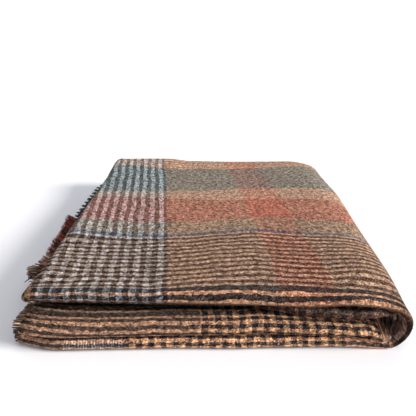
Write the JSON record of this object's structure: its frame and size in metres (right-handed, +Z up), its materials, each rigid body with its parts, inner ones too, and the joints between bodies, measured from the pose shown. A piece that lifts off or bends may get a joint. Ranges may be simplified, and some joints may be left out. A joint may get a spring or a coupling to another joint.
{
  "type": "folded plaid wool blanket",
  "caption": "Brushed wool throw with a fringed end, folded in thirds and then in quarters into a flat pad.",
  "frame": {"origin": "on the surface that the blanket lies on, under the middle of its bounding box", "axes": "+Z up, -Y towards the front folds, +X towards the side where the runs turn, -X towards the fringed ends"},
  "size_m": [0.4552, 0.4572, 0.059],
  "materials": {
    "plaid_wool": "brushed woven wool",
    "fringe_wool": "loose wool yarn"
  },
  "bodies": {
    "root": {"folded_cloth": "plaid_wool", "upper_end_fringe": "fringe_wool", "lower_end_fringe": "fringe_wool"}
  },
  "joints": []
}
